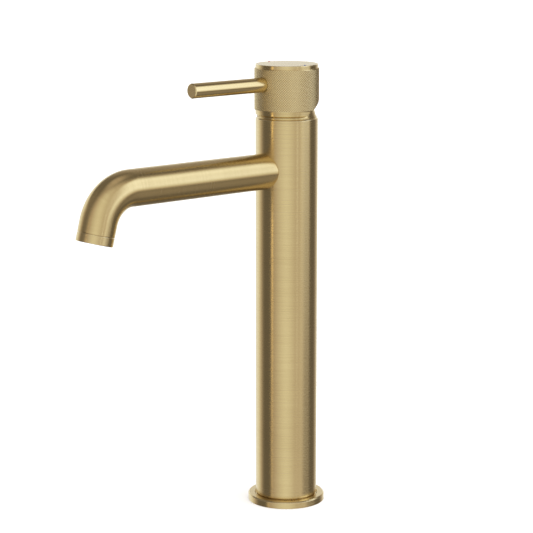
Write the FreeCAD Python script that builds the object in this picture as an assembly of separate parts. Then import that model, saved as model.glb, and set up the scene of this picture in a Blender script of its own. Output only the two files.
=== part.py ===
import FreeCAD, Part
import math
import os

# Tall single-lever basin mixer: a column on a base ring, a fixed bent spout tube and a knob with a rod lever.
# Origin on the column's axis at the deck, +Z up, spout and lever towards -Y, hot side -X, cold side +X.
# All sizes are in millimetres.

# Column and foot
COLUMN_R = 22.0
COLUMN_BORE_R = 19.5
COLUMN_TOP = 279.1
COLUMN_CHAMFER = 0.5
RING_R = 27.5
RING_HEIGHT = 5.0
RING_BORE_R = 19.8
RING_SHELF = 2.0
RING_EDGE = 0.8
GASKET_INNER_R = 22.7
GASKET_OUTER_R = 25.9
GASKET_HEIGHT = 1.5

# Inlet block in the column's foot
BLOCK_R = COLUMN_BORE_R - 0.05
BLOCK_TOP = 24.0
INLET_X = 8.5
INLET_Y = -2.0
INLET_THREAD_R = 4.5
INLET_THREAD_DEPTH = 12.0
STUD_Y = 13.0
STUD_HOLE_R = 2.5
STUD_HOLE_DEPTH = 14.0

# Water ways
WATERWAY_R = 3.0
RISER_R = 5.0
RISER_BORE_R = 4.0
RISER_INSERTION = 8.0
RISER_SOCKET_R = RISER_R + 0.1
RISER_SOCKET_DEPTH = RISER_INSERTION + 0.5
RISER_SEAL_R = 0.75
SEAL_SETBACK = 4.5
SEAL_GROOVE_HALF_WIDTH = 1.0

# Valve seat
SEAT_R = COLUMN_BORE_R - 0.1
SEAT_BOTTOM = 226.0
SEAT_TOP = 250.5
OUTLET_PORT_Y = 5.0
OUTLET_BORE_R = 4.2
PEG_X = 11.0
PEG_Y = 8.0
PEG_R = 1.5
PEG_LENGTH = 2.5
PEG_HOLE_DEPTH = 3.0

# Spout: straight, bent down, and a short straight end with the aerator
SPOUT_Z = 242.2
SPOUT_R = 12.65
SPOUT_BORE_R = 10.4
SPOUT_STRAIGHT = 136.4
BEND_R = 27.0
BEND_ANGLE = 75.0
SPOUT_END = 14.5
COPE_GAP = 0.02
NIPPLE_R = 6.0
NIPPLE_HOLE_R = 6.3
NIPPLE_INNER_Y = -12.0
NIPPLE_OUTER_Y = -32.5
BUSH_INNER_Y = -24.5
BUSH_OUTER_Y = -33.0
NIPPLE_SEAL_Y = -29.0
NIPPLE_SEAL_R = 0.7

# Aerator, in heights above the spout's lip
COLLAR_HEIGHT = 6.0
AERATOR_THREAD_R = 11.1
AERATOR_THREAD_DEPTH = 8.0
LIP_HEIGHT = 1.2
LIP_BORE_R = 9.6
INSERT_R = 10.05
INSERT_TOP = 11.5
SCREEN_THICKNESS = 0.4
AERATOR_GASKET_HEIGHT = 1.5
AERATOR_GASKET_BORE_R = 8.6
CELL_PITCH = 2.2
CELL_R = 0.85
CELL_RINGS = 4

# Handle, all of which tilts about the pivot
PIVOT_Z = 276.1
KNOB_R = 22.0
KNOB_BOTTOM = 280.4
KNOB_TOP = 316.4
KNOB_BEVEL = 1.0
BAND_BOTTOM = 284.4
BAND_TOP = 313.6
BAND_R = 22.75
CORE_R = 20.8
CAVITY_R = 21.3
CAVITY_TOP = 297.0
RELIEF_ANGLE = 31.0
RELIEF_START_Y = -1.9
CAP_SPIGOT_R = 15.0
CAP_SPIGOT_DEPTH = 3.0
CAP_EDGE = 0.4
DOT_X = 19.1
DOT_R = 0.75
DOT_DEPTH = 1.0
DOT_HEIGHT = 0.3
DOT_EDGE = 0.2
DOT_GAP = 0.02
LEVER_Z = 302.8
LEVER_R = 5.2
LEVER_END_Y = -84.6
LEVER_EDGE = 0.6
STUD_R = 2.95
LEVER_THREAD_END_Y = -34.0
LEVER_STUD_OUTER_Y = -33.0
LEVER_STUD_INNER_Y = -13.5
GRUB_LENGTH = 8.0
GRUB_HEX_R = 1.5
GRUB_HEX_DEPTH = 3.0

# Spindle: a square stem with a ball at its foot that drives the discs
STEM_WIDTH = 8.0
STEM_EDGE = 1.2
STEM_TOP = 307.5
STEM_SOCKET_BOTTOM = 296.0
STEM_SOCKET_TOP = 308.0
STEM_BOTTOM = 271.5
BALL_Z = 267.0
BALL_R = 2.7
BALL_FLOOR_GAP = 0.6
NECK_R = 2.0
PIN_R = 1.5
PIN_LENGTH = 17.0

# Bonnet dome, a ball zone centred on the pivot
DOME_R = 20.9
DOME_INNER_R = 19.4
DOME_OPENING_R = 13.1
DOME_FLANGE_R = 21.1
DOME_FLANGE_HEIGHT = 0.8
NUT_NECK_R = 17.6
NUT_NECK_TOP = 283.0
NUT_BOTTOM = 268.0
NUT_OPENING_R = 13.0
NUT_NOTCH_HALF_WIDTH = 1.5
NUT_NOTCH_DEPTH = 2.0

# Cartridge
CARTRIDGE_R = 17.5
CARTRIDGE_BORE_R = 16.0
CARTRIDGE_TOP = 277.5
CARTRIDGE_CEILING = 274.0
BASE_FLOOR = 255.5
BASE_STEP = 252.5
BASE_RIM_TOP = 257.5
PORT_R = 2.8
PORT_SEAL_MAJOR_R = 3.5
PORT_SEAL_R = 0.75
FIXED_DISC_R = 13.5
FIXED_DISC_TOP = 259.5
DISC_PORT_R = 2.4
DISC_GAP = 0.03
MOVING_DISC_R = 11.7
MOVING_DISC_TOP = 263.0
MIXING_CHAMBER_R = 10.0
CARRIER_PLATE_TOP = 265.0
CARRIER_TOP = 269.0
CARRIER_HALF_WIDTH = 8.9
CARRIER_HALF_LENGTH = 7.5
ROTOR_FLANGE_R = 15.4
ROTOR_BOTTOM = 269.4
ROTOR_FLANGE_TOP = 273.9
ROTOR_NECK_R = 11.5
ROTOR_TOP = 282.0
RAIL_BOTTOM = 265.3
RAIL_WIDTH = 3.3
STEM_SLOT_BACK_Y = 7.8
STEM_SLOT_FRONT_Y = -6.6

# Running clearances
SLIDING_GAP = 0.1
SHAFT_GAP = 0.05

X_AXIS = FreeCAD.Vector(1, 0, 0)
Y_AXIS = FreeCAD.Vector(0, 1, 0)
Z_AXIS = FreeCAD.Vector(0, 0, 1)
FRONT = FreeCAD.Vector(0, -1, 0)
HOT_PORT = (-INLET_X, INLET_Y)
COLD_PORT = (INLET_X, INLET_Y)
OUTLET_PORT = (0.0, OUTLET_PORT_Y)
PORTS = (HOT_PORT, COLD_PORT, OUTLET_PORT)

# The spout's lip and the direction back up the water's path
BEND = math.radians(BEND_ANGLE)
BEND_CENTRE = FreeCAD.Vector(0, -SPOUT_STRAIGHT, SPOUT_Z - BEND_R)
UPSTREAM = FreeCAD.Vector(0, math.cos(BEND), math.sin(BEND))
BEND_END = BEND_CENTRE + FreeCAD.Vector(0, -BEND_R * math.sin(BEND), BEND_R * math.cos(BEND))
LIP = BEND_END - UPSTREAM * SPOUT_END


def post(radius, bottom, top, x=0.0, y=0.0):
    """Upright cylinder between two heights."""
    return Part.makeCylinder(radius, top - bottom, FreeCAD.Vector(x, y, bottom), Z_AXIS)


def ring(outer, inner, bottom, top):
    """Upright ring about the column's axis."""
    return post(outer, bottom, top).cut(post(inner, bottom, top))


def bar(radius, inner_y, outer_y, height):
    """Level cylinder that runs forward, from inner_y to outer_y."""
    return Part.makeCylinder(radius, inner_y - outer_y, FreeCAD.Vector(0, inner_y, height), FRONT)


def cross_bar(radius, length, height):
    """Level cylinder along X, centred on the column's axis."""
    return Part.makeCylinder(radius, length, FreeCAD.Vector(-length / 2, 0, height), X_AXIS)


def block(half_x, back_y, front_y, bottom, top):
    """Box that is symmetric in X."""
    corner = FreeCAD.Vector(-half_x, front_y, bottom)
    return Part.makeBox(2 * half_x, back_y - front_y, top - bottom, corner)


def turned(outline):
    """Solid turned about Z from its (radius, height) outline."""
    points = [FreeCAD.Vector(radius, 0, height) for radius, height in outline]
    face = Part.Face(Part.makePolygon(points + points[:1]))
    return face.revolve(FreeCAD.Vector(0, 0, 0), Z_AXIS, 360)


def o_ring(major, section, centre, axis=Z_AXIS):
    return Part.makeTorus(major, section, centre, axis)


def in_outlet(shape):
    """Moves a shape made about Z, with its heights above the lip, to the end of the spout."""
    moved = shape.copy()
    moved.Placement = FreeCAD.Placement(LIP, FreeCAD.Rotation(Z_AXIS, UPSTREAM))
    return moved


def relief():
    """Everything below the slanted plane that frees the knob's back edge as it tilts."""
    size = 4 * KNOB_R
    box = Part.makeBox(2 * size, size, size, FreeCAD.Vector(-size, 0, -size))
    box.rotate(FreeCAD.Vector(0, 0, 0), X_AXIS, RELIEF_ANGLE)
    box.translate(FreeCAD.Vector(0, RELIEF_START_Y, KNOB_BOTTOM))
    return box


def column():
    tube = turned([
        (COLUMN_BORE_R, RING_SHELF),
        (COLUMN_R, RING_SHELF),
        (COLUMN_R, COLUMN_TOP - COLUMN_CHAMFER),
        (COLUMN_R - COLUMN_CHAMFER, COLUMN_TOP),
        (COLUMN_BORE_R, COLUMN_TOP),
    ])
    nipple_hole = bar(NIPPLE_HOLE_R, 0, -2 * COLUMN_R, SPOUT_Z)
    return tube.cut(nipple_hole)


def base_ring():
    recess_r = COLUMN_R + SLIDING_GAP
    shadow_edge = 0.4
    body = turned([
        (RING_BORE_R, 0),
        (RING_R, 0),
        (RING_R, RING_HEIGHT - RING_EDGE),
        (RING_R - RING_EDGE, RING_HEIGHT),
        (recess_r + shadow_edge, RING_HEIGHT),
        (recess_r, RING_HEIGHT - shadow_edge),
        (recess_r, RING_SHELF),
        (RING_BORE_R, RING_SHELF),
    ])
    groove = ring(GASKET_OUTER_R + SLIDING_GAP, GASKET_INNER_R - SLIDING_GAP, 0, GASKET_HEIGHT)
    return body.cut(groove)


def deck_gasket():
    return ring(GASKET_OUTER_R, GASKET_INNER_R, 0, GASKET_HEIGHT)


def riser_socket(end, inward, x):
    """Pocket for one riser end with its O-ring groove; inward is +1 where the pocket deepens upwards."""
    deep = end + inward * RISER_SOCKET_DEPTH
    seal = end + inward * SEAL_SETBACK
    pocket = post(RISER_SOCKET_R, min(end, deep), max(end, deep), x, INLET_Y)
    groove_r = RISER_SOCKET_R + 2 * RISER_SEAL_R
    groove = post(groove_r, seal - SEAL_GROOVE_HALF_WIDTH, seal + SEAL_GROOVE_HALF_WIDTH, x, INLET_Y)
    return pocket.fuse(groove)


def inlet_block():
    body = post(BLOCK_R, 0, BLOCK_TOP)
    holes = [post(STUD_HOLE_R, 0, STUD_HOLE_DEPTH, 0, side * STUD_Y) for side in (-1, 1)]
    for x, y in (HOT_PORT, COLD_PORT):
        holes.append(post(INLET_THREAD_R, 0, INLET_THREAD_DEPTH, x, y))
        holes.append(post(WATERWAY_R, 0, BLOCK_TOP, x, y))
        holes.append(riser_socket(BLOCK_TOP, -1, x))
    return body.cut(holes)


def riser(x):
    bottom = BLOCK_TOP - RISER_INSERTION
    top = SEAT_BOTTOM + RISER_INSERTION
    return post(RISER_R, bottom, top, x, INLET_Y).cut(post(RISER_BORE_R, bottom, top, x, INLET_Y))


def riser_o_rings():
    heights = (BLOCK_TOP - SEAL_SETBACK, SEAT_BOTTOM + SEAL_SETBACK)
    major = RISER_SOCKET_R + RISER_SEAL_R
    return Part.makeCompound([
        o_ring(major, RISER_SEAL_R, FreeCAD.Vector(x, y, height))
        for x, y in (HOT_PORT, COLD_PORT)
        for height in heights
    ])


def valve_seat():
    body = post(SEAT_R, SEAT_BOTTOM, SEAT_TOP)
    holes = [
        post(WATERWAY_R, SPOUT_Z, SEAT_TOP, *OUTLET_PORT),
        bar(OUTLET_BORE_R, OUTLET_PORT_Y + OUTLET_BORE_R, -COLUMN_R, SPOUT_Z),
        bar(NIPPLE_R + SHAFT_GAP, NIPPLE_INNER_Y, -COLUMN_R, SPOUT_Z),
    ]
    for x, y in (HOT_PORT, COLD_PORT):
        holes.append(post(WATERWAY_R, SEAT_BOTTOM, SEAT_TOP, x, y))
        holes.append(riser_socket(SEAT_BOTTOM, 1, x))
    for side in (-1, 1):
        holes.append(post(PEG_R + SLIDING_GAP, SEAT_TOP - PEG_HOLE_DEPTH, SEAT_TOP, side * PEG_X, PEG_Y))
    return body.cut(holes)


def spout_nipple():
    body = bar(NIPPLE_R, NIPPLE_INNER_Y, NIPPLE_OUTER_Y, SPOUT_Z)
    return body.cut(bar(OUTLET_BORE_R, NIPPLE_INNER_Y, NIPPLE_OUTER_Y, SPOUT_Z))


def nipple_o_ring():
    centre = FreeCAD.Vector(0, NIPPLE_SEAL_Y, SPOUT_Z)
    return o_ring(NIPPLE_R + SHAFT_GAP + NIPPLE_SEAL_R, NIPPLE_SEAL_R, centre, FRONT)


def spout_root_bush():
    body = bar(SPOUT_BORE_R - SHAFT_GAP, BUSH_INNER_Y, BUSH_OUTER_Y, SPOUT_Z)
    bore = bar(NIPPLE_R + SHAFT_GAP, BUSH_INNER_Y, BUSH_OUTER_Y, SPOUT_Z)
    groove_r = NIPPLE_R + SHAFT_GAP + 2 * NIPPLE_SEAL_R
    groove = bar(
        groove_r, NIPPLE_SEAL_Y + SEAL_GROOVE_HALF_WIDTH, NIPPLE_SEAL_Y - SEAL_GROOVE_HALF_WIDTH, SPOUT_Z
    )
    return body.cut([bore, groove])


def spout_run(radius, start_y, end_length):
    """Solid along the spout's centre line: straight, bend, and a straight end of the given length."""
    straight = bar(radius, start_y, -SPOUT_STRAIGHT, SPOUT_Z)
    centre = FreeCAD.Vector(0, -SPOUT_STRAIGHT, SPOUT_Z)
    section = Part.Face(Part.Wire(Part.makeCircle(radius, centre, FRONT)))
    bend = section.revolve(BEND_CENTRE, X_AXIS, BEND_ANGLE)
    end = Part.makeCylinder(radius, end_length, BEND_END, -UPSTREAM)
    return straight.fuse([bend, end]).removeSplitter()


def spout_tube():
    tube_end = SPOUT_END - COLLAR_HEIGHT
    outer = spout_run(SPOUT_R, 0, tube_end)
    thread = in_outlet(post(AERATOR_THREAD_R, COLLAR_HEIGHT, COLLAR_HEIGHT + AERATOR_THREAD_DEPTH))
    cope = post(COLUMN_R + COPE_GAP, SPOUT_Z - 2 * SPOUT_R, SPOUT_Z + 2 * SPOUT_R)
    return outer.cut([spout_run(SPOUT_BORE_R, 0, tube_end), thread, cope])


def aerator_collar():
    seam = 0.25
    edge = 0.5
    spigot_r = AERATOR_THREAD_R - SHAFT_GAP
    spigot_top = COLLAR_HEIGHT + AERATOR_THREAD_DEPTH - AERATOR_GASKET_HEIGHT - SHAFT_GAP
    bore_r = INSERT_R + SHAFT_GAP
    return in_outlet(turned([
        (LIP_BORE_R + edge, 0),
        (SPOUT_R - edge, 0),
        (SPOUT_R, edge),
        (SPOUT_R, COLLAR_HEIGHT - seam),
        (SPOUT_R - seam, COLLAR_HEIGHT),
        (spigot_r, COLLAR_HEIGHT),
        (spigot_r, spigot_top),
        (bore_r, spigot_top),
        (bore_r, LIP_HEIGHT),
        (LIP_BORE_R, LIP_HEIGHT),
        (LIP_BORE_R, edge),
    ]))


def cells(bottom, top):
    """Hexagonal grid of small round posts, used to pierce the aerator's discs."""
    row_step = CELL_PITCH * math.sin(math.radians(60))
    found = []
    for row in range(-CELL_RINGS, CELL_RINGS + 1):
        count = 2 * CELL_RINGS + 1 - abs(row)
        for place in range(count):
            x = (place - (count - 1) / 2) * CELL_PITCH
            found.append(post(CELL_R, bottom, top, x, row * row_step))
    return found


def aerator_insert():
    body = post(INSERT_R, LIP_HEIGHT, INSERT_TOP)
    return in_outlet(body.cut(cells(LIP_HEIGHT, INSERT_TOP)))


def aerator_screen():
    top = INSERT_TOP + SCREEN_THICKNESS
    body = post(INSERT_R, INSERT_TOP, top)
    return in_outlet(body.cut(cells(INSERT_TOP, top)))


def aerator_gasket():
    top = COLLAR_HEIGHT + AERATOR_THREAD_DEPTH
    bottom = top - AERATOR_GASKET_HEIGHT
    return in_outlet(ring(AERATOR_THREAD_R - SLIDING_GAP, AERATOR_GASKET_BORE_R, bottom, top))


def cartridge_base():
    foot = post(CARTRIDGE_R, SEAT_TOP, BASE_STEP)
    spigot = post(CARTRIDGE_BORE_R - SLIDING_GAP, BASE_STEP, BASE_RIM_TOP)
    pegs = [post(PEG_R, SEAT_TOP - PEG_LENGTH, SEAT_TOP, side * PEG_X, PEG_Y) for side in (-1, 1)]
    holes = [post(FIXED_DISC_R + SLIDING_GAP, BASE_FLOOR, BASE_RIM_TOP)]
    for x, y in PORTS:
        holes.append(post(PORT_R, SEAT_TOP, BASE_FLOOR, x, y))
        groove_r = PORT_SEAL_MAJOR_R + PORT_SEAL_R + SHAFT_GAP
        holes.append(post(groove_r, SEAT_TOP, SEAT_TOP + 2 * PORT_SEAL_R, x, y))
    return foot.fuse([spigot] + pegs).cut(holes).removeSplitter()


def cartridge_port_seals():
    height = SEAT_TOP + PORT_SEAL_R
    return Part.makeCompound([
        o_ring(PORT_SEAL_MAJOR_R, PORT_SEAL_R, FreeCAD.Vector(x, y, height)) for x, y in PORTS
    ])


def fixed_disc():
    body = post(FIXED_DISC_R, BASE_FLOOR, FIXED_DISC_TOP)
    return body.cut([post(DISC_PORT_R, BASE_FLOOR, FIXED_DISC_TOP, x, y) for x, y in PORTS])


def moving_disc():
    """Its chamber joins the inlets to the outlet only once the disc has slid forward."""
    bottom = FIXED_DISC_TOP + DISC_GAP
    chamber_depth = 2.0
    chamber_front_y = 1.0
    chamber_back_y = 8.2
    chamber = post(MIXING_CHAMBER_R, bottom, bottom + chamber_depth).common(
        block(MIXING_CHAMBER_R, chamber_back_y, chamber_front_y, bottom, bottom + chamber_depth)
    )
    return post(MOVING_DISC_R, bottom, MOVING_DISC_TOP).cut(chamber)


def disc_carrier():
    pocket_r = BALL_R + SLIDING_GAP
    flare = 1.2
    plate = post(MOVING_DISC_R, MOVING_DISC_TOP, CARRIER_PLATE_TOP)
    slide_block = block(
        CARRIER_HALF_WIDTH, CARRIER_HALF_LENGTH, -CARRIER_HALF_LENGTH, CARRIER_PLATE_TOP, CARRIER_TOP
    )
    pocket = post(pocket_r, BALL_Z - BALL_R - BALL_FLOOR_GAP, CARRIER_TOP)
    mouth = Part.makeCone(pocket_r, pocket_r + flare, flare, FreeCAD.Vector(0, 0, CARRIER_TOP - flare))
    return plate.fuse(slide_block).cut([pocket, mouth]).removeSplitter()


def cartridge_housing():
    return turned([
        (CARTRIDGE_BORE_R, BASE_STEP),
        (CARTRIDGE_R, BASE_STEP),
        (CARTRIDGE_R, CARTRIDGE_TOP),
        (ROTOR_NECK_R + SLIDING_GAP, CARTRIDGE_TOP),
        (ROTOR_NECK_R + SLIDING_GAP, CARTRIDGE_CEILING),
        (CARTRIDGE_BORE_R, CARTRIDGE_CEILING),
    ])


def cartridge_rotor():
    """Turns in the housing with the handle; its rails guide the disc carrier, its slot lets the stem tilt."""
    flange = post(ROTOR_FLANGE_R, ROTOR_BOTTOM, ROTOR_FLANGE_TOP)
    neck = post(ROTOR_NECK_R, ROTOR_FLANGE_TOP, ROTOR_TOP)
    rail_inner = CARRIER_HALF_WIDTH + 2 * SLIDING_GAP
    rails = block(
        rail_inner + RAIL_WIDTH, CARRIER_HALF_LENGTH, -CARRIER_HALF_LENGTH, RAIL_BOTTOM, ROTOR_BOTTOM
    ).cut(block(rail_inner, CARRIER_HALF_LENGTH, -CARRIER_HALF_LENGTH, RAIL_BOTTOM, ROTOR_BOTTOM))
    stem_slot = block(
        STEM_WIDTH / 2 + SLIDING_GAP, STEM_SLOT_BACK_Y, STEM_SLOT_FRONT_Y, ROTOR_BOTTOM, ROTOR_TOP
    )
    pin_hole = cross_bar(PIN_R + SHAFT_GAP, 2 * ROTOR_NECK_R, PIVOT_Z)
    return flange.fuse([neck, rails]).cut([stem_slot, pin_hole]).removeSplitter()


def pivot_pin():
    return cross_bar(PIN_R, PIN_LENGTH, PIVOT_Z)


def lever_spindle():
    half = STEM_WIDTH / 2
    stem = block(half, half, -half, STEM_BOTTOM, STEM_TOP)
    upright = [edge for edge in stem.Edges if edge.BoundBox.ZLength > STEM_WIDTH]
    stem = stem.makeChamfer(STEM_EDGE, upright)
    neck = post(NECK_R, BALL_Z, STEM_BOTTOM)
    ball = Part.makeSphere(BALL_R, FreeCAD.Vector(0, 0, BALL_Z))
    pin_hole = cross_bar(PIN_R + SHAFT_GAP, 2 * STEM_WIDTH, PIVOT_Z)
    return stem.fuse([neck, ball]).cut(pin_hole)


def cartridge_nut():
    nut = turned([
        (CARTRIDGE_R + SLIDING_GAP, NUT_BOTTOM),
        (COLUMN_BORE_R - SHAFT_GAP, NUT_BOTTOM),
        (COLUMN_BORE_R - SHAFT_GAP, COLUMN_TOP),
        (NUT_NECK_R, COLUMN_TOP),
        (NUT_NECK_R, NUT_NECK_TOP),
        (NUT_OPENING_R, NUT_NECK_TOP),
        (NUT_OPENING_R, CARTRIDGE_TOP),
        (CARTRIDGE_R + SLIDING_GAP, CARTRIDGE_TOP),
    ])
    notch = block(NUT_NOTCH_HALF_WIDTH, COLUMN_R, -COLUMN_R, NUT_NECK_TOP - NUT_NOTCH_DEPTH, NUT_NECK_TOP)
    crossing = notch.copy()
    crossing.rotate(FreeCAD.Vector(0, 0, 0), Z_AXIS, 90)
    return nut.cut([notch, crossing])


def bonnet_dome():
    centre = FreeCAD.Vector(0, 0, PIVOT_Z)
    thread_r = NUT_NECK_R + SHAFT_GAP
    thread_top = PIVOT_Z + math.sqrt(DOME_INNER_R ** 2 - thread_r ** 2)
    ball = Part.makeSphere(DOME_R, centre)
    flange = post(DOME_FLANGE_R, COLUMN_TOP, COLUMN_TOP + DOME_FLANGE_HEIGHT)
    hollow = Part.makeSphere(DOME_INNER_R, centre).cut(post(DOME_R, 0, thread_top))
    below = post(2 * DOME_R, PIVOT_Z - 2 * DOME_R, COLUMN_TOP)
    bore = post(thread_r, COLUMN_TOP, thread_top)
    opening = post(DOME_OPENING_R, COLUMN_TOP, KNOB_TOP)
    return ball.fuse(flange).cut([hollow, below, bore, opening])


def knob_core():
    body = turned([
        (0, KNOB_BOTTOM),
        (KNOB_R - KNOB_BEVEL, KNOB_BOTTOM),
        (KNOB_R, KNOB_BOTTOM + KNOB_BEVEL),
        (KNOB_R, BAND_BOTTOM),
        (CORE_R, BAND_BOTTOM),
        (CORE_R, BAND_TOP),
        (0, BAND_TOP),
    ])
    socket_half = STEM_WIDTH / 2 + SHAFT_GAP
    cavity = Part.makeSphere(CAVITY_R, FreeCAD.Vector(0, 0, PIVOT_Z)).cut(post(CAVITY_R, CAVITY_TOP, KNOB_TOP))
    return body.cut([
        cavity,
        relief(),
        block(socket_half, socket_half, -socket_half, STEM_SOCKET_BOTTOM, STEM_SOCKET_TOP),
        post(CAP_SPIGOT_R + SHAFT_GAP, BAND_TOP - CAP_SPIGOT_DEPTH - SHAFT_GAP, BAND_TOP),
        bar(STUD_R + SHAFT_GAP, 0, -COLUMN_R, LEVER_Z),
    ])


def knurled_sleeve():
    edge = 0.4
    bore_r = CORE_R + SHAFT_GAP
    sleeve = turned([
        (bore_r, BAND_BOTTOM),
        (BAND_R - edge, BAND_BOTTOM),
        (BAND_R, BAND_BOTTOM + edge),
        (BAND_R, BAND_TOP - edge),
        (BAND_R - edge, BAND_TOP),
        (bore_r, BAND_TOP),
    ])
    lever_hole = bar(LEVER_R + SLIDING_GAP, 0, -2 * BAND_R, LEVER_Z)
    return sleeve.cut([relief(), lever_hole])


def knob_cap():
    cap = turned([
        (0, BAND_TOP - CAP_SPIGOT_DEPTH),
        (CAP_SPIGOT_R, BAND_TOP - CAP_SPIGOT_DEPTH),
        (CAP_SPIGOT_R, BAND_TOP),
        (KNOB_R, BAND_TOP),
        (KNOB_R, KNOB_TOP - CAP_EDGE),
        (KNOB_R - CAP_EDGE, KNOB_TOP),
        (0, KNOB_TOP),
    ])
    return cap.cut([post(DOT_R, KNOB_TOP - DOT_DEPTH, KNOB_TOP, side * DOT_X) for side in (-1, 1)])


def dot(x):
    """Enamel dot that stands a little proud of the cap, with a soft top edge."""
    top = KNOB_TOP + DOT_HEIGHT
    bead = post(DOT_R - DOT_GAP, KNOB_TOP - DOT_DEPTH, top, x)
    rim = [edge for edge in bead.Edges if edge.BoundBox.ZMin > KNOB_TOP]
    return bead.makeFillet(DOT_EDGE, rim)


def lever_rod():
    root_y = -CORE_R - SHAFT_GAP
    rod = bar(LEVER_R, root_y, LEVER_END_Y, LEVER_Z)
    tip = [edge for edge in rod.Edges if edge.BoundBox.YMax < LEVER_END_Y + LEVER_EDGE]
    thread = bar(STUD_R + SHAFT_GAP, root_y, LEVER_THREAD_END_Y, LEVER_Z)
    return rod.makeChamfer(LEVER_EDGE, tip).cut(thread)


def lever_stud():
    return bar(STUD_R, LEVER_STUD_INNER_Y, LEVER_STUD_OUTER_Y, LEVER_Z)


def handle_grub_screw():
    """Screw with a hexagon socket that clamps the stem's front flat."""
    inner_y = -STEM_WIDTH / 2 - SHAFT_GAP
    outer_y = inner_y - GRUB_LENGTH
    screw = bar(STUD_R, inner_y, outer_y, LEVER_Z)
    corners = [
        FreeCAD.Vector(GRUB_HEX_R * math.cos(turn), outer_y, LEVER_Z + GRUB_HEX_R * math.sin(turn))
        for turn in (math.radians(60 * side) for side in range(7))
    ]
    socket = Part.Face(Part.makePolygon(corners)).extrude(Y_AXIS * GRUB_HEX_DEPTH)
    return screw.cut(socket)


NODES = {
    "column_tube": column,
    "base_ring": base_ring,
    "deck_gasket": deck_gasket,
    "inlet_block": inlet_block,
    "hot_riser": lambda: riser(-INLET_X),
    "cold_riser": lambda: riser(INLET_X),
    "riser_o_rings": riser_o_rings,
    "valve_seat": valve_seat,
    "spout_nipple": spout_nipple,
    "nipple_o_ring": nipple_o_ring,
    "spout_root_bush": spout_root_bush,
    "spout_tube": spout_tube,
    "aerator_collar": aerator_collar,
    "aerator_insert": aerator_insert,
    "aerator_screen": aerator_screen,
    "aerator_gasket": aerator_gasket,
    "cartridge_base": cartridge_base,
    "cartridge_port_seals": cartridge_port_seals,
    "fixed_disc": fixed_disc,
    "moving_disc": moving_disc,
    "disc_carrier": disc_carrier,
    "cartridge_housing": cartridge_housing,
    "cartridge_rotor": cartridge_rotor,
    "pivot_pin": pivot_pin,
    "lever_spindle": lever_spindle,
    "cartridge_nut": cartridge_nut,
    "bonnet_dome": bonnet_dome,
    "knob_core": knob_core,
    "knurled_sleeve": knurled_sleeve,
    "knob_cap": knob_cap,
    "hot_dot": lambda: dot(-DOT_X),
    "cold_dot": lambda: dot(DOT_X),
    "lever_rod": lever_rod,
    "lever_stud": lever_stud,
    "handle_grub_screw": handle_grub_screw,
}

os.makedirs("parts", exist_ok=True)
for name, make in NODES.items():
    make().exportStep(f"parts/{name}.step")
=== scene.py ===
"""Tall brushed-brass basin mixer: visual pieces, finishes and studio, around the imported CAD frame."""

import math

import bmesh
import bpy
import numpy as np
from mathutils import Matrix, Vector


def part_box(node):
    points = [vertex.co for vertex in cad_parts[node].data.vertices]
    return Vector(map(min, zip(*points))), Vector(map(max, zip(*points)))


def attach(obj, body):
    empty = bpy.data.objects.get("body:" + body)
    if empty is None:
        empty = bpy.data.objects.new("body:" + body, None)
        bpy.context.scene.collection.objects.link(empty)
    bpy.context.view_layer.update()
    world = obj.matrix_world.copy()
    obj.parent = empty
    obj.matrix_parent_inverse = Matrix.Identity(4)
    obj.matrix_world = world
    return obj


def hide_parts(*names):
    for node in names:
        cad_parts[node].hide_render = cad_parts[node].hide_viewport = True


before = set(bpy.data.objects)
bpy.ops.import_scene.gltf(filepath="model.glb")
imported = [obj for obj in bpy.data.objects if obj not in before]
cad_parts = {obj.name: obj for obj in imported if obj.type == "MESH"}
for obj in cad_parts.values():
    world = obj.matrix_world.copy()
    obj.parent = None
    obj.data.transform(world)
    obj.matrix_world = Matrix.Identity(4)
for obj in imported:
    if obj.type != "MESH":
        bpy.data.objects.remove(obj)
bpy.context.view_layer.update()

# Sizes in millimetres, as in the CAD, with the small edge roundings that the CAD leaves out
MM = 0.001
ROUND_STEPS = 192
CORNER_STEPS = 4
GUARD = 0.12
GUARD_WEAR = 0.15
SHARP_ANGLE = math.radians(35)

COLUMN_WALL = 2.5
COLUMN_BOTTOM = 2.0
COLUMN_BEVEL = 0.9
FOOT_GROOVE_DEPTH = 0.5
RING_BORE_R = 22.1
RING_LIP_R = 19.8
RING_RECESS = (22.6, 26.0, 1.5)
RING_BEVEL = 0.8
SPIGOT_R = 15.0
SPIGOT_HEIGHT = 3.0

BAND_ROWS = 17
BAND_DIAMONDS = 84
KNURL_STEPS = 4
KNURL_DEPTH = 0.2
KNURL_FLAT = 0.5
# Lightening of the knurl's crowns: rubbed wear and painted highlight
KNURL_CROWN_WEAR_AND_HIGHLIGHT = 0.5
SLEEVE_WALL = 1.9
SLEEVE_RISE = 4.0
LEVER_HOLE_GAP = 0.2
LEVER_BEVEL = 0.6
SPOUT_STRAIGHT = 136.4
SPOUT_END = 14.5
SPOUT_BORE_R = 10.4
BEND_R = 27.0
BEND_ANGLE = math.radians(75)
BEND_STEPS = 36
UPSTREAM = np.array((0.0, math.cos(BEND_ANGLE), math.sin(BEND_ANGLE)))
STRAIGHT_START = 5.0
STRAIGHT_STEPS = 12
COPE_GAP = 0.02
# How far each row of an eased edge lies inside the tube's surface, and how far along the tube from its end
COPE_EDGE = ((0.25, 0.0), (0.07, 0.07), (0.0, 0.25), (0.0, 0.6))
SEAM_EDGE = ((0.0, 0.4), (0.0, 0.14), (0.05, 0.03), (0.15, 0.0))
COLLAR_HEIGHT = 6.0
COLLAR_BORE_R = 10.1
LIP_BORE_R = 9.6
LIP_BOTTOM = 0.5
LIP_TOP = 1.2
THREAD_R = 11.05
THREAD_TOP = 12.45
SEAM = 0.25
RELIEF_ANGLE = math.radians(31.0)
RELIEF_START_Y = -1.9
DOT_R = 0.73
DOT_EDGE = 0.2
DOT_GAP = 0.05

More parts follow.
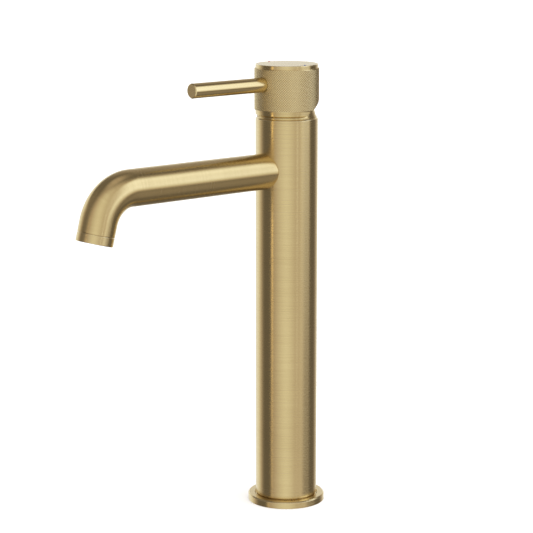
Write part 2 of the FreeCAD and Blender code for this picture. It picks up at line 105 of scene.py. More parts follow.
# Camera: its azimuth from the front towards +X, its distance from the column's axis and its height
CAMERA_AZIMUTH = math.radians(49.236)
CAMERA_YAW = math.radians(0.602)
CAMERA_PITCH = math.radians(11.249)
CAMERA_DISTANCE = 1.350
CAMERA_HEIGHT = 0.4403
CAMERA_LENS = 130.38
CAMERA_SENSOR = 36.0
FLOOR_HALF = 15.0
SUN_STRENGTH = 3.6
SUN_ANGLE = math.radians(60)

BRASS = (0.76, 0.61, 0.32)
BRASS_DEEP = (0.66, 0.50, 0.24)
# Lighter brass on rubbed edges, and on the knurl's crowns as rubbed wear and painted highlight
BRASS_WORN_AND_HIGHLIGHT = (0.92, 0.80, 0.53)
# Dark brown painted shade for the bottom of the knurl's grooves
GROOVE_PAINTED_SHADE = (0.10, 0.07, 0.03)
BRASS_CLOUD = tuple(c * 0.93 for c in BRASS_DEEP)
# Scales of the fine grain, the coarse grain and the clouding, each along the grain and across it
GRAIN_SCALES = ((60, 7000), (14, 750), (18, 30))
# Share of the deeper brass in the streaks and in the clouding, and the streaks' swing in roughness
STREAK_SHARE = 0.28
CLOUD_SHARE = 0.15
STREAK_ROUGHNESS = 0.04
# The middle of a noise's values, which is what gets mapped
NOISE_RANGE = (0.3, 0.7)
# How squarely a polygon has to face a direction to count as the flat face there
FACE_MATCH = 0.99


# ---------------------------------------------------------------- meshes

def node_box(name):
    """Lowest and highest corners of a CAD node, in millimetres."""
    low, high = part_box(name)
    return np.array(low) / MM, np.array(high) / MM


def round_outline(outline):
    """Closed (radius, height, rounding) outline as points with round corners, each with its edge wear.

    A guard point on either side of a corner keeps the flats beside it shading flat."""
    points, wear_and_highlight = [], []
    count = len(outline)
    for place, (radius, height, rounding) in enumerate(outline):
        corner = np.array((radius, height))
        before = np.array(outline[place - 1][:2]) - corner
        after = np.array(outline[(place + 1) % count][:2]) - corner
        before = before / np.linalg.norm(before)
        after = after / np.linalg.norm(after)
        if rounding == 0:
            points.append(corner)
            wear_and_highlight.append(0.0)
            continue
        half = math.acos(float(np.clip(before @ after, -1, 1))) / 2
        trim = rounding / math.tan(half)
        middle = (before + after) / np.linalg.norm(before + after)
        centre = corner + middle * rounding / math.sin(half)
        start, end = corner + before * trim - centre, corner + after * trim - centre
        first = math.atan2(start[1], start[0])
        turn = (math.atan2(end[1], end[0]) - first + math.pi) % (2 * math.pi) - math.pi
        points.append(centre + start + before * GUARD)
        wear_and_highlight.append(GUARD_WEAR)
        for step in range(CORNER_STEPS + 1):
            angle = first + turn * step / CORNER_STEPS
            points.append(centre + rounding * np.array((math.cos(angle), math.sin(angle))))
            wear_and_highlight.append(1.0)
        points.append(centre + end + after * GUARD)
        wear_and_highlight.append(GUARD_WEAR)
    return np.array(points), np.array(wear_and_highlight)


def skin(name, rows, u, v, marks, diagonals=None):
    """Closed skin over a grid of points in millimetres. Each row runs round a section, and the last row
    joins the first.

    u and v hold one column more than the rows, for the seam. marks are named shares from 0 to 1, such as
    edge wear, by row or by point. diagonals says how each cell splits into triangles."""
    count, around = rows.shape[:2]
    p, n = np.meshgrid(np.arange(count), np.arange(around), indexing="ij")
    q, m = (p + 1) % count, (n + 1) % around
    corners = np.stack([p * around + n, p * around + m, q * around + m, q * around + n], axis=-1)
    corners = corners.reshape(-1, 4)
    places = np.stack([
        np.stack([u[p, n], v[p, n]], -1), np.stack([u[p, n + 1], v[p, n + 1]], -1),
        np.stack([u[q, n + 1], v[q, n + 1]], -1), np.stack([u[q, n], v[q, n]], -1),
    ], axis=-2).reshape(-1, 4, 2)
    if diagonals is not None:
        split = np.where(diagonals.reshape(-1, 1), [[0, 1, 2, 0, 2, 3]], [[0, 1, 3, 1, 2, 3]])
        corners = np.take_along_axis(corners, split, 1).reshape(-1, 3)
        places = np.take_along_axis(places, split[..., None], 1).reshape(-1, 3, 2)
    mesh = bpy.data.meshes.new(name)
    mesh.from_pydata((rows.reshape(-1, 3) * MM).tolist(), [], corners.tolist())
    layer = mesh.uv_layers.new(name="grain")
    layer.data.foreach_set("uv", (places.reshape(-1) * MM).astype(np.float32))
    for mark, share in marks.items():
        values = np.broadcast_to(np.reshape(share, (count, -1)), (count, around)).reshape(-1)
        mesh.attributes.new(mark, "FLOAT", "POINT").data.foreach_set("value", values.astype(np.float32))
    work = bmesh.new()
    work.from_mesh(mesh)
    bmesh.ops.remove_doubles(work, verts=work.verts, dist=1e-7)
    bmesh.ops.dissolve_degenerate(work, edges=work.edges, dist=1e-8)
    bmesh.ops.recalc_face_normals(work, faces=work.faces)
    work.to_mesh(mesh)
    work.free()
    shade(mesh)
    piece = bpy.data.objects.new(name, mesh)
    bpy.context.scene.collection.objects.link(piece)
    return piece


def shade(mesh):
    """Smooth shading that keeps true corners sharp."""
    mesh.polygons.foreach_set("use_smooth", np.ones(len(mesh.polygons), bool))
    mesh.set_sharp_from_angle(angle=SHARP_ANGLE)


def turned(name, outline, origin=(0, 0, 0), axis=(0, 0, 1), steps=ROUND_STEPS):
    """Piece turned about an axis in the YZ plane; its grain map runs round it and along its outline."""
    points, wear_and_highlight = round_outline(outline)
    axis = np.array(axis, float) / np.linalg.norm(axis)
    side = np.array((1.0, 0.0, 0.0))
    lift = np.cross(axis, side)
    turn = np.arange(steps) * 2 * math.pi / steps
    spokes = np.cos(turn)[:, None] * side + np.sin(turn)[:, None] * lift
    rows = np.array(origin) + points[:, None, 1:] * axis + points[:, None, :1] * spokes
    lengths = np.linalg.norm(np.diff(points, axis=0, append=points[:1]), axis=1)
    along = np.concatenate([[0], np.cumsum(lengths)])[:-1]
    around = np.arange(steps + 1) * 2 * math.pi / steps * points[:, 0].max()
    u, v = np.meshgrid(around, along)
    return skin(name, rows, u, v, {"wear_and_highlight": wear_and_highlight})


def cut(piece, cutter):
    """Takes the cutter's shape out of a piece, for good."""
    difference = piece.modifiers.new("cut", "BOOLEAN")
    difference.operation = "DIFFERENCE"
    difference.solver = "EXACT"
    difference.object = cutter
    graph = bpy.context.evaluated_depsgraph_get()
    mesh = bpy.data.meshes.new_from_object(piece.evaluated_get(graph))
    piece.modifiers.clear()
    piece.data = mesh
    shade(mesh)
    bpy.data.objects.remove(cutter)


def finish_piece(piece, body, material, slot, *nodes, face=None):
    """Gives a piece its finish, body and CAD nodes. face is a flat face's own finish and its direction."""
    piece.data.materials.clear()
    piece.data.materials.append(material)
    if face:
        piece.data.materials.append(face[0])
        for polygon in piece.data.polygons:
            polygon.material_index = int(polygon.normal.dot(Vector(face[1])) > FACE_MATCH)
    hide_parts(*nodes)
    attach(piece, body)


# ---------------------------------------------------------------- the turned pieces

def column():
    """Column tube with a bevelled top and a fine shadow groove where it stands in the base ring."""
    high = node_box("column_tube")[1]
    radius, top = high[0], high[2]
    bore = radius - COLUMN_WALL
    groove = radius - FOOT_GROOVE_DEPTH
    foot = node_box("base_ring")[1][2]
    return turned("column_skin", [
        (bore, COLUMN_BOTTOM, 0), (radius, COLUMN_BOTTOM, 0),
        (radius, foot - 1.0, 0), (groove, foot - 0.8, 0),
        (groove, foot + 0.4, 0.1), (radius, foot + 0.7, 0.15),
        (radius, top - COLUMN_BEVEL, 0.3), (radius - COLUMN_BEVEL, top, 0.3), (bore, top, 0),
    ])


def base_ring():
    """Base ring with its gasket recess below and an eased bore and rim above."""
    high = node_box("base_ring")[1]
    radius, top = high[0], high[2]
    recess_inner, recess_outer, recess_top = RING_RECESS
    return turned("base_ring_skin", [
        (RING_LIP_R, 0, 0), (recess_inner, 0, 0), (recess_inner, recess_top, 0),
        (recess_outer, recess_top, 0), (recess_outer, 0, 0),
        (radius, 0, 0.15), (radius, top - RING_BEVEL, 0.25), (radius - RING_BEVEL, top, 0.25),
        (RING_BORE_R + 0.7, top, 0.12), (RING_BORE_R, top - 1.0, 0),
        (RING_BORE_R, COLUMN_BOTTOM, 0), (RING_LIP_R, COLUMN_BOTTOM, 0),
    ])


def knob_cap():
    """Cap with its spigot and a hole for each dot."""
    low, high = node_box("knob_cap")
    radius, top, bottom = high[0], high[2], low[2]
    rim = bottom + SPIGOT_HEIGHT
    cap = turned("knob_cap_skin", [
        (0, bottom, 0), (SPIGOT_R, bottom, 0), (SPIGOT_R, rim, 0),
        (radius, rim, 0.1), (radius, top, 0.4), (0, top, 0),
    ])
    for name in ("hot_dot", "cold_dot"):
        dot_low, dot_high = node_box(name)
        centre = (dot_low + dot_high) / 2
        hole_r, floor_z, over = DOT_R + DOT_GAP, dot_low[2], top + 2
        outline = [(0, floor_z, 0), (hole_r, floor_z, 0), (hole_r, over, 0), (0, over, 0)]
        cut(cap, turned("hole", outline, origin=(centre[0], centre[1], 0), steps=32))
    return cap


def dot(name):
    """Enamel dot that stands a little proud of the cap, with a soft edge."""
    low, high = node_box(name)
    centre = (low + high) / 2
    return turned(name + "_enamel", [
        (0, low[2], 0), (DOT_R, low[2], 0), (DOT_R, high[2], DOT_EDGE), (0, high[2], 0),
    ], origin=(centre[0], centre[1], 0), steps=48)


def lever_rod():
    """Plain round rod with a bevelled tip."""
    low, high = node_box("lever_rod")
    radius = high[0]
    height = (low[2] + high[2]) / 2
    root, tip = -high[1], -low[1]
    return turned("lever_rod_skin", [
        (0, root, 0), (radius, root, 0),
        (radius, tip - LEVER_BEVEL, 0.25), (radius - LEVER_BEVEL, tip, 0.2), (0, tip, 0),
    ], origin=(0, 0, height), axis=(0, -1, 0))


def relief_cutter():
    """Everything below the slanted plane under the knob's back edge."""
    bottom = node_box("knob_core")[0][2]
    size = 90.0
    slope = np.array((0.0, math.cos(RELIEF_ANGLE), math.sin(RELIEF_ANGLE)))
    down = np.array((0.0, math.sin(RELIEF_ANGLE), -math.cos(RELIEF_ANGLE)))
    start = np.array((0.0, RELIEF_START_Y, bottom))
    section = [start, start + slope * size, start + slope * size + down * size, start + down * size]
    rows = np.array([[point + (x, 0, 0) for point in section] for x in (-size, size)])
    faces = [(0, 1, 2, 3), (7, 6, 5, 4), (0, 4, 5, 1), (1, 5, 6, 2), (2, 6, 7, 3), (3, 7, 4, 0)]
    mesh = bpy.data.meshes.new("relief")
    mesh.from_pydata((rows.reshape(-1, 3) * MM).tolist(), [], faces)
    cutter = bpy.data.objects.new("relief", mesh)
    bpy.context.scene.collection.objects.link(cutter)
    return cutter


def knurled_sleeve():
    """Sleeve with a real diamond knurl: two sets of V grooves leave rows of blunt pyramids."""
    high = node_box("knurled_sleeve")[1]
    outer, top = high[0], high[2]
    bottom = node_box("knob_core")[0][2] + SLEEVE_RISE
    bore = outer - SLEEVE_WALL
    around = BAND_DIAMONDS * KNURL_STEPS
    levels = BAND_ROWS * KNURL_STEPS
    across, up = np.meshgrid(np.arange(around) / KNURL_STEPS, np.arange(levels + 1) / KNURL_STEPS)
    rising, falling = (across + up) % 1, (across - up) % 1
    height = 2 * np.minimum(np.minimum(rising, 1 - rising), np.minimum(falling, 1 - falling))
    height = KNURL_DEPTH * np.minimum(height, KNURL_FLAT) / KNURL_FLAT
    z = bottom + (top - bottom) * up / BAND_ROWS
    chamfer = np.minimum(z - bottom, top - z)
    radius = outer - KNURL_DEPTH + np.minimum(height, chamfer)
    turn = across * 2 * math.pi / BAND_DIAMONDS
    knurl = np.stack([radius * np.cos(turn), radius * np.sin(turn), z], axis=-1)
    bore_rows = [np.stack([bore * np.cos(turn[0]), bore * np.sin(turn[0]), np.full(around, level)], axis=-1)
                 for level in (top, bottom)]
    rows = np.concatenate([knurl, bore_rows])
    count = len(rows)
    p, n = np.meshgrid(np.arange(count), np.arange(around), indexing="ij")
    diagonals = (n - p) % KNURL_STEPS == 0
    u = np.tile(np.arange(around + 1) * 2 * math.pi * outer / around, (count, 1))
    v = np.repeat(rows[:, :1, 2], around + 1, axis=1)
    crown = np.concatenate([height / KNURL_DEPTH, np.ones((2, around))])
    # The crowns are lightened, as rubbed wear and painted highlight.
    # The groove mark paints shade into the knurl's valleys, darkest at their bottoms.
    marks = {"wear_and_highlight": KNURL_CROWN_WEAR_AND_HIGHLIGHT * crown ** 4, "groove": 1 - crown}
    sleeve = skin("knurled_sleeve_skin", rows, u, v, marks, diagonals)
    cut(sleeve, relief_cutter())
    lever_low, lever_high = node_box("lever_rod")
    hole_r = lever_high[0] + LEVER_HOLE_GAP
    middle = (lever_low[2] + lever_high[2]) / 2
    inside, outside = 1, 40
    outline = [(0, inside, 0), (hole_r, inside, 0), (hole_r, outside, 0), (0, outside, 0)]
    cut(sleeve, turned("hole", outline, origin=(0, 0, middle), axis=(0, -1, 0), steps=96))
    return sleeve


# ---------------------------------------------------------------- the spout

def spout():
    """Spout tube, coped to the column, straight, then bent down to the seam above the collar."""
    high = node_box("spout_tube")[1]
    radius = high[0]
    axis_z = high[2] - radius
    turn = np.arange(ROUND_STEPS) * 2 * math.pi / ROUND_STEPS
    column_r = node_box("column_tube")[1][0]
    rows, along = [], []

    def coped(section_r, gap):
        x = section_r * np.cos(turn)
        y = -np.sqrt((column_r + COPE_GAP) ** 2 - x ** 2) - gap
        rows.append(np.stack([x, y, axis_z + section_r * np.sin(turn)], axis=-1))
        along.append(-y)

    def level(section_r, y):
        x, z = section_r * np.cos(turn), axis_z + section_r * np.sin(turn)
        rows.append(np.stack([x, np.full(ROUND_STEPS, y), z], axis=-1))
        along.append(np.full(ROUND_STEPS, -y))

    def bent(section_r, angle, beyond=0.0):
        lift = np.array((0.0, -math.sin(angle), math.cos(angle)))
        forward = np.array((0.0, -math.cos(angle), -math.sin(angle)))
        centre = np.array((0.0, -SPOUT_STRAIGHT, axis_z - BEND_R)) + BEND_R * lift + beyond * forward
        rows.append(centre + section_r * (np.cos(turn)[:, None] * (1, 0, 0) + np.sin(turn)[:, None] * lift))
        along.append(np.full(ROUND_STEPS, SPOUT_STRAIGHT + BEND_R * angle + beyond))

    coped(SPOUT_BORE_R, 0.0)
    for inset, gap in COPE_EDGE:
        coped(radius - inset, gap)
    for y in np.linspace(-column_r - STRAIGHT_START, -SPOUT_STRAIGHT, STRAIGHT_STEPS):
        level(radius, y)
    for step in range(1, BEND_STEPS + 1):
        bent(radius, BEND_ANGLE * step / BEND_STEPS)
    end = SPOUT_END - COLLAR_HEIGHT - SEAM
    for inset, back in SEAM_EDGE:
        bent(radius - inset, BEND_ANGLE, end - back)
    bent(SPOUT_BORE_R, BEND_ANGLE, end)
    for step in range(BEND_STEPS, -1, -1):
        bent(SPOUT_BORE_R, BEND_ANGLE * step / BEND_STEPS)
    rows, along = np.array(rows), np.array(along)
    u = np.tile(np.arange(ROUND_STEPS + 1) * 2 * math.pi * radius / ROUND_STEPS, (len(rows), 1))
    v = np.concatenate([along, along[:, :1]], axis=1)
    return skin("spout_skin", rows, u, v, {"wear_and_highlight": np.zeros(len(rows))})


def collar():
    """Aerator collar with a soft seam, a turned lip and a thread bore, about the outlet's axis."""
    radius = node_box("aerator_collar")[1][0]
    return turned("aerator_collar_skin", [
        (COLLAR_BORE_R, 0, 0.2), (radius, 0, 0.45), (radius, COLLAR_HEIGHT, 0.22),
        (THREAD_R, COLLAR_HEIGHT, 0), (THREAD_R, THREAD_TOP, 0), (COLLAR_BORE_R, THREAD_TOP, 0),
        (COLLAR_BORE_R, LIP_TOP, 0), (LIP_BORE_R, LIP_TOP, 0), (LIP_BORE_R, LIP_BOTTOM, 0.15),
    ], origin=LIP, axis=UPSTREAM)


def lip_centre():
    """Centre of the outlet's lip, where the bent spout and its collar end."""
    high = node_box("spout_tube")[1]
    axis_z = high[2] - high[0]
    centre = np.array((0.0, -SPOUT_STRAIGHT, axis_z - BEND_R))
    bend_end = centre + BEND_R * np.array((0.0, -math.sin(BEND_ANGLE), math.cos(BEND_ANGLE)))
    return bend_end - UPSTREAM * SPOUT_END


LIP = lip_centre()


# ---------------------------------------------------------------- finishes

def new_material(name):
    """A new material with its node tree and its shader."""
    material = bpy.data.materials.new(name)
    material.use_nodes = True
    return material, material.node_tree, material.node_tree.nodes["Principled BSDF"]


def add(tree, kind, **settings):
    """A new node with its settings."""
    node = tree.nodes.new(kind)
    for key, value in settings.items():
        setattr(node, key, value)
    return node


def noise(tree, vector, scale, detail, roughness=0.5):
    """Noise stretched by a scale for each axis."""
    node = add(tree, "ShaderNodeTexNoise")
    node.inputs["Scale"].default_value = 1.0
    node.inputs["Detail"].default_value = detail
    node.inputs["Roughness"].default_value = roughness
    stretch = add(tree, "ShaderNodeMapping")
    stretch.inputs["Scale"].default_value = scale
    tree.links.new(vector, stretch.inputs["Vector"])
    tree.links.new(stretch.outputs["Vector"], node.inputs["Vector"])
    return node.outputs["Fac"]


def span(tree, value, low, high):
    """Maps a noise value onto a range."""
    node = add(tree, "ShaderNodeMapRange")
    node.inputs["From Min"].default_value, node.inputs["From Max"].default_value = NOISE_RANGE
    node.inputs["To Min"].default_value = low
    node.inputs["To Max"].default_value = high
    tree.links.new(value, node.inputs["Value"])
    return node.outputs["Result"]


def blend(tree, factor, first, second):
    """Mix of two colours, each a colour or another node's output."""
    node = add(tree, "ShaderNodeMix", data_type="RGBA")
    tree.links.new(factor, node.inputs[0])
    for socket, colour in ((node.inputs[6], first), (node.inputs[7], second)):
        if isinstance(colour, tuple):
            socket.default_value = (*colour, 1.0)
        else:
            tree.links.new(colour, socket)
    return node.outputs[2]


def calc(tree, operation, first, second=0):
    """A sum on one or two values, each a number or another node's output."""
    node = add(tree, "ShaderNodeMath", operation=operation)
    for socket, value in zip(node.inputs, (first, second)):
        if isinstance(value, (int, float)):
            socket.default_value = value
        else:
            tree.links.new(value, socket)
    return node.outputs[0]


def brushed(name, roughness, anisotropy, along_uv, bump=0.2, contrast=1.0, groove=0.0):
    """Brushed brass. The grain runs along the grain map's u, or level about Z where there is no such map.

    contrast scales the grain, and groove is how dark the painted shade at the bottom of a knurl's grooves
    is."""
    material, tree, shader = new_material(name)
    if along_uv:
        vector = add(tree, "ShaderNodeUVMap", uv_map="grain").outputs["UV"]
        tangent = add(tree, "ShaderNodeTangent", direction_type="UV_MAP", uv_map="grain")
        scales = [(along, across, 1) for along, across in GRAIN_SCALES]
    else:
        vector = add(tree, "ShaderNodeTexCoord").outputs["Object"]
        tangent = add(tree, "ShaderNodeTangent", direction_type="RADIAL", axis="Z")
        scales = [(along, along, across) for along, across in GRAIN_SCALES]
    fine = noise(tree, vector, scales[0], 2.0, 0.6)
    coarse = noise(tree, vector, scales[1], 4.0, 0.65)
    cloud = noise(tree, vector, scales[2], 3.0)
    streak = calc(tree, "ADD", calc(tree, "MULTIPLY", fine, 0.45), calc(tree, "MULTIPLY", coarse, 0.55))
    wear_and_highlight = add(tree, "ShaderNodeAttribute", attribute_name="wear_and_highlight").outputs["Fac"]
    # Rubbed edges lighten, and the knurl's crowns lighten as rubbed wear and painted highlight.
    rub_and_highlight = calc(tree, "MULTIPLY", wear_and_highlight, span(tree, coarse, 0.35, 0.9))
    swing = STREAK_SHARE * contrast
    colour = blend(tree, span(tree, streak, STREAK_SHARE - swing, STREAK_SHARE + swing), BRASS, BRASS_DEEP)
    colour = blend(tree, span(tree, cloud, 0.0, CLOUD_SHARE * contrast), colour, BRASS_CLOUD)
    colour = blend(tree, rub_and_highlight, colour, BRASS_WORN_AND_HIGHLIGHT)
    if groove:
        # Painted shade: the knurl's valleys darken towards a dark brown, most at the bottom
        groove_shade = add(tree, "ShaderNodeAttribute", attribute_name="groove").outputs["Fac"]
        groove_shade = calc(tree, "MULTIPLY", groove_shade, groove_shade)
        colour = blend(tree, calc(tree, "MULTIPLY", groove_shade, groove), colour, GROOVE_PAINTED_SHADE)
    tree.links.new(colour, shader.inputs["Base Color"])
    swing = STREAK_ROUGHNESS * contrast
    rough = calc(tree, "ADD", span(tree, streak, -swing, swing), span(tree, cloud, -0.015, 0.02))
    rough = calc(tree, "ADD", rough, roughness)
    rough = calc(tree, "SUBTRACT", rough, calc(tree, "MULTIPLY", rub_and_highlight, 0.05))
    tree.links.new(rough, shader.inputs["Roughness"])
    relief = add(tree, "ShaderNodeBump")
    relief.inputs["Strength"].default_value = bump
    relief.inputs["Distance"].default_value = 0.00003
    tree.links.new(coarse, relief.inputs["Height"])
    tree.links.new(relief.outputs["Normal"], shader.inputs["Normal"])
    tree.links.new(tangent.outputs["Tangent"], shader.inputs["Tangent"])
    shader.inputs["Metallic"].default_value = 1.0
    shader.inputs["Anisotropic"].default_value = anisotropy
    shader.inputs["Anisotropic Rotation"].default_value = 0.25
    return material


def grained(name, first, second, metallic, roughness, scale, bump, spread=0.08):
    """Cast, moulded or drawn material with a fine grain and small changes of tone."""
    material, tree, shader = new_material(name)
    vector = add(tree, "ShaderNodeTexCoord").outputs["Object"]
    grain = noise(tree, vector, (scale,) * 3, 4.0)
    cloud = noise(tree, vector, (scale / 25,) * 3, 2.0)
    colour = blend(tree, span(tree, grain, 0.0, 0.6), first, second)
    colour = blend(tree, span(tree, cloud, 0.0, 0.3), colour, second)
    tree.links.new(colour, shader.inputs["Base Color"])
    tree.links.new(span(tree, grain, roughness - spread, roughness + spread), shader.inputs["Roughness"])
    relief = add(tree, "ShaderNodeBump")
    relief.inputs["Strength"].default_value = bump
    relief.inputs["Distance"].default_value = 0.00005
    tree.links.new(grain, relief.inputs["Height"])
    tree.links.new(relief.outputs["Normal"], shader.inputs["Normal"])
    shader.inputs["Metallic"].default_value = metallic
    return material


def enamel(name, colour):
    """Glossy enamel fill."""
    material = grained(name, colour, tuple(c * 0.8 for c in colour), 0.0, 0.3, 3000, 0.1)
    shader = material.node_tree.nodes["Principled BSDF"]
    shader.inputs["Coat Weight"].default_value = 0.6
    shader.inputs["Coat Roughness"].default_value = 0.08
    return material


# ---------------------------------------------------------------- the studio

# Colour of the light at each level: the dark room is warm and the bright panels are a little cool
LEVEL_TOP = 1.6
LEVELS = (
    (0.0, (0.0, 0.0, 0.0)),
    (0.15, (0.166, 0.15, 0.136)),
    (0.5, (0.565, 0.5, 0.45)),
    (0.88, (0.875, 0.88, 0.827)),
    (1.1, (1.05, 1.1, 1.155)),
    (1.5, (1.37, 1.5, 1.72)),
)
ROOM_LEVEL = 0.165
# Each panel's level, its azimuths from the camera's side, its elevations, and how soft its sides and its
# upper and lower edges are, in degrees. Each is painted over those before it.
PANELS = (
    ("front diffuser", 0.90, (-42, 40), (-56, 64), (90, 28)),
    ("right fill", 0.60, (40, 66), (-56, 64), (24, 28)),
    ("left flag", 0.145, (-130, -60), (-90, 3), (8, 14)),
    ("right flag", 0.145, (97, 170), (-90, 64), (12, 20)),
    ("back upper glow", 0.38, (140, 200), (26, 50), (30, 24)),
    ("left upper fill", 0.22, (-118, -78), (8, 50), (24, 18)),
    ("floor bounce", 0.27, (70, 100), (-46, -20), (16, 12)),
    ("left wall", 1.02, (-215, -112), (-30, 24), (48, 10)),
    ("low right screen", 0.87, (52, 94), (-9.3, 6), (10, 13)),
    ("right strip", 1.04, (38, 42.5), (-12, 40), (3, 10)),
    ("upper softbox", 1.45, (58, 92), (0, 46), (14, 14)),
    ("upper softbox wing", 1.40, (84, 119), (24, 45), (16, 14)),
    ("ceiling", 0.50, (-180, 180), (74, 100), (1, 16)),
)
GOLD_STRIP = ((2.4, 1.85, 0.97), (-57, -51), (-9, 3), (3, 13))


def wrapped(tree, value):
    """An angle brought between -180 and 180 degrees."""
    node = add(tree, "ShaderNodeMath", operation="WRAP")
    tree.links.new(value, node.inputs[0])
    node.inputs[1].default_value = 180.0
    node.inputs[2].default_value = -180.0
    return node.outputs[0]


def panel_mask(tree, heading, height, azimuths, elevations, softness):
    """1 inside a panel and 0 outside it, with soft edges."""
    masks = []
    for value, (low, high), soft in ((heading, azimuths, softness[0]), (height, elevations, softness[1])):
        away = calc(tree, "SUBTRACT", value, (low + high) / 2)
        if value is heading:
            away = wrapped(tree, away)
        mask = add(tree, "ShaderNodeMapRange", interpolation_type="SMOOTHSTEP")
        mask.inputs["From Min"].default_value = (high - low) / 2 - soft / 2
        mask.inputs["From Max"].default_value = (high - low) / 2 + soft / 2
        mask.inputs["To Min"].default_value = 1.0
        mask.inputs["To Max"].default_value = 0.0
        tree.links.new(calc(tree, "ABSOLUTE", away), mask.inputs["Value"])
        masks.append(mask.outputs["Result"])
    return calc(tree, "MULTIPLY", *masks)


def studio():
    """The room as the metal sees it: soft panels, dark flags and one gold strip, fixed round the object.

    The camera itself sees white instead, and a sun with no highlights of its own lights the floor."""
    world = bpy.data.worlds.new("studio")
    bpy.context.scene.world = world
    world.use_nodes = True
    tree = world.node_tree
    split = add(tree, "ShaderNodeSeparateXYZ")
    tree.links.new(add(tree, "ShaderNodeTexCoord").outputs["Generated"], split.inputs[0])
    x, y, z = split.outputs
    heading = calc(tree, "DEGREES", calc(tree, "ARCTAN2", x, calc(tree, "MULTIPLY", y, -1.0)))
    heading = calc(tree, "SUBTRACT", heading, math.degrees(CAMERA_AZIMUTH))
    height = calc(tree, "DEGREES", calc(tree, "ARCSINE", z))
    level = ROOM_LEVEL
    for _, panel, azimuths, elevations, softness in PANELS:
        mask = panel_mask(tree, heading, height, azimuths, elevations, softness)
        change = calc(tree, "MULTIPLY", mask, calc(tree, "SUBTRACT", panel, level))
        level = calc(tree, "ADD", level, change)
    ramp = add(tree, "ShaderNodeValToRGB")
    while len(ramp.color_ramp.elements) < len(LEVELS):
        ramp.color_ramp.elements.new(0.5)
    for stop, (place, colour) in zip(ramp.color_ramp.elements, LEVELS):
        stop.position = place / LEVEL_TOP
        stop.color = (*colour, 1.0)
    tree.links.new(calc(tree, "DIVIDE", level, LEVEL_TOP), ramp.inputs["Fac"])
    gold, *edges = GOLD_STRIP
    light = blend(tree, panel_mask(tree, heading, height, *edges), ramp.outputs["Color"], gold)
    seen = add(tree, "ShaderNodeLightPath").outputs["Is Camera Ray"]
    tree.links.new(blend(tree, seen, light, (1.0, 1.0, 1.0)), tree.nodes["Background"].inputs["Color"])
    lamp = bpy.data.lights.new("overhead", "SUN")
    lamp.energy = SUN_STRENGTH
    lamp.angle = SUN_ANGLE
    top = bpy.data.objects.new("overhead", lamp)
    top.visible_glossy = False
    bpy.context.scene.collection.objects.link(top)


def floor():
    """Plain pale floor."""
    corners = [(x * FLOOR_HALF, y * FLOOR_HALF, 0) for x, y in ((-1, -1), (1, -1), (1, 1), (-1, 1))]
    mesh = bpy.data.meshes.new("floor")
    mesh.from_pydata(corners, [], [(0, 1, 2, 3)])
    plane = bpy.data.objects.new("floor", mesh)
    bpy.context.scene.collection.objects.link(plane)
    material, _, shader = new_material("pale_floor")
    shader.inputs["Base Color"].default_value = (0.86, 0.86, 0.86, 1.0)
    shader.inputs["Roughness"].default_value = 0.9
    shader.inputs["Specular IOR Level"].default_value = 0.0
    mesh.materials.append(material)
    plane.visible_glossy = False


def camera():
    """Camera that looks down on the object and a little to one side of the column."""
    data = bpy.data.cameras.new("camera")
    data.lens = CAMERA_LENS
    data.sensor_width = CAMERA_SENSOR
    data.clip_start = 0.01
    heading = CAMERA_AZIMUTH + CAMERA_YAW
    right = Vector((math.cos(heading), math.sin(heading), 0))
    level = Vector((-math.sin(heading), math.cos(heading), 0))
    forward = level * math.cos(CAMERA_PITCH) - Vector((0, 0, math.sin(CAMERA_PITCH)))
    up = right.cross(forward)
    turn = Matrix((right, up, -forward)).transposed().to_4x4()
    x = CAMERA_DISTANCE * math.sin(CAMERA_AZIMUTH)
    y = -CAMERA_DISTANCE * math.cos(CAMERA_AZIMUTH)
    view = bpy.data.objects.new("camera", data)
    view.matrix_world = Matrix.Translation((x, y, CAMERA_HEIGHT)) @ turn
    bpy.context.scene.collection.objects.link(view)
    bpy.context.scene.camera = view


# ---------------------------------------------------------------- assembly

brass = brushed("brushed_brass_turned", 0.235, 0.75, True, bump=0.45, contrast=2.3)
brass_spout = brushed("brushed_brass_spout", 0.235, 0.75, True, bump=0.2, contrast=1.1)
brass_core = brushed("brushed_brass_level", 0.235, 0.75, False, bump=0.45, contrast=2.3)
brass_face = brushed("brushed_brass_face", 0.27, 0.0, False, bump=0.0, contrast=0.1)
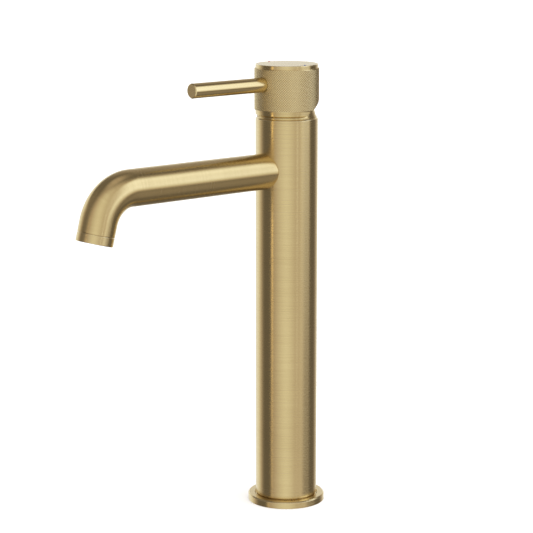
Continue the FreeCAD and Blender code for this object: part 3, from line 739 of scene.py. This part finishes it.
# The knurl's finish paints shade into the bottoms of its grooves.
knurled = brushed("knurled_brass_cut", 0.24, 0.0, True, bump=0.0, contrast=0.2, groove=0.28)
satin = brushed("satin_brass_turned", 0.16, 0.5, True, bump=0.05, contrast=0.2)
FINISHES = {
    "brushed_brass": brass_core,
    "plain_brass": grained("cast_brass", (0.62, 0.47, 0.22), (0.45, 0.33, 0.15), 1.0, 0.42, 900, 0.3),
    "copper": grained("drawn_copper", (0.75, 0.38, 0.24), (0.55, 0.26, 0.16), 1.0, 0.34, 500, 0.2),
    "black_rubber": grained(
        "moulded_rubber", (0.022, 0.022, 0.023), (0.045, 0.044, 0.043), 0.0, 0.72, 2500, 0.35),
    "cartridge_plastic": grained(
        "moulded_acetal", (0.70, 0.69, 0.66), (0.60, 0.59, 0.56), 0.0, 0.45, 1800, 0.15),
    "ceramic": grained(
        "lapped_ceramic", (0.82, 0.81, 0.78), (0.74, 0.72, 0.69), 0.0, 0.16, 2200, 0.05, spread=0.05),
    "aerator_plastic": grained(
        "aerator_acetal", (0.16, 0.16, 0.16), (0.10, 0.10, 0.10), 0.0, 0.5, 1600, 0.2),
    "steel": grained("drawn_steel", (0.58, 0.57, 0.55), (0.44, 0.43, 0.42), 1.0, 0.32, 1200, 0.2),
}
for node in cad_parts.values():
    for place in node.material_slots:
        place.material = FINISHES.get(place.material.name, place.material)

finish_piece(column(), "body", brass, "brushed_brass", "column_tube")
finish_piece(base_ring(), "body", brass, "brushed_brass", "base_ring", face=(brass_face, (0, 0, 1)))
finish_piece(spout(), "body", brass_spout, "brushed_brass", "spout_tube")
finish_piece(collar(), "body", brass_spout, "brushed_brass", "aerator_collar")
finish_piece(knurled_sleeve(), "handle", knurled, "knurled_brass", "knurled_sleeve")
finish_piece(knob_cap(), "handle", brass, "brushed_brass", "knob_cap", face=(brass_face, (0, 0, 1)))
finish_piece(lever_rod(), "handle", satin, "satin_brass", "lever_rod", face=(brass_face, (0, -1, 0)))
for name, slot, colour in (
    ("hot_dot", "red_enamel", (0.55, 0.03, 0.02)),
    ("cold_dot", "blue_enamel", (0.02, 0.09, 0.45)),
):
    finish_piece(dot(name), "handle", enamel(slot + "_fill", colour), slot, name)

floor()
studio()
camera()
bpy.context.scene.view_settings.view_transform = "Standard"
